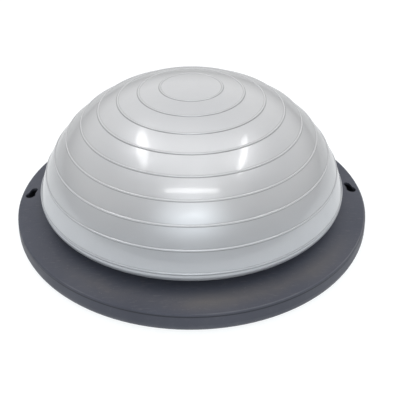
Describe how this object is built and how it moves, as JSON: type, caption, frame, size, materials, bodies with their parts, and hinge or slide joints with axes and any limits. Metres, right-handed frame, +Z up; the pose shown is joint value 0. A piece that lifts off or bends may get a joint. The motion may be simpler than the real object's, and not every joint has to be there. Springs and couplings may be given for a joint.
{
  "type": "balance dome trainer",
  "caption": "Half-ball balance trainer: an inflated ribbed vinyl dome clamped in a round plastic platform with strap keyholes, rubber feet, hand grips and a valve plug.",
  "frame": {"origin": "centre of the footprint at the soles of the feet", "axes": "+Z up through the dome's apex; the band anchors lie along +X and -X, and the hand grips along +Y and -Y"},
  "size_m": [0.5825, 0.5826, 0.2417],
  "materials": {
    "dome_vinyl": "glossy inflated vinyl, silver grey",
    "floor_vinyl": "plain vinyl sheet",
    "valve_rubber": "moulded soft vinyl rubber",
    "plug_vinyl": "moulded light grey vinyl",
    "platform_plastic": "satin dark grey moulded polypropylene",
    "foot_rubber": "black grip rubber",
    "screw_steel": "zinc plated steel"
  },
  "bodies": {
    "trainer": {"dome_membrane": "dome_vinyl", "bladder_floor": "floor_vinyl", "valve_seat": "valve_rubber", "platform_top": "platform_plastic", "platform_bottom": "platform_plastic", "clamp_screws": "screw_steel", "rim_screws": "screw_steel", "foot_1": "foot_rubber", "foot_2": "foot_rubber", "foot_3": "foot_rubber", "foot_4": "foot_rubber", "foot_5": "foot_rubber", "foot_6": "foot_rubber", "foot_7": "foot_rubber", "foot_8": "foot_rubber"},
    "plug": {"valve_plug": "plug_vinyl"}
  },
  "joints": [
    {"name": "plug_pull", "type": "slide", "parent": "trainer", "child": "plug", "axis": [0, 0, -1], "range_m": [0, 0.014]}
  ]
}
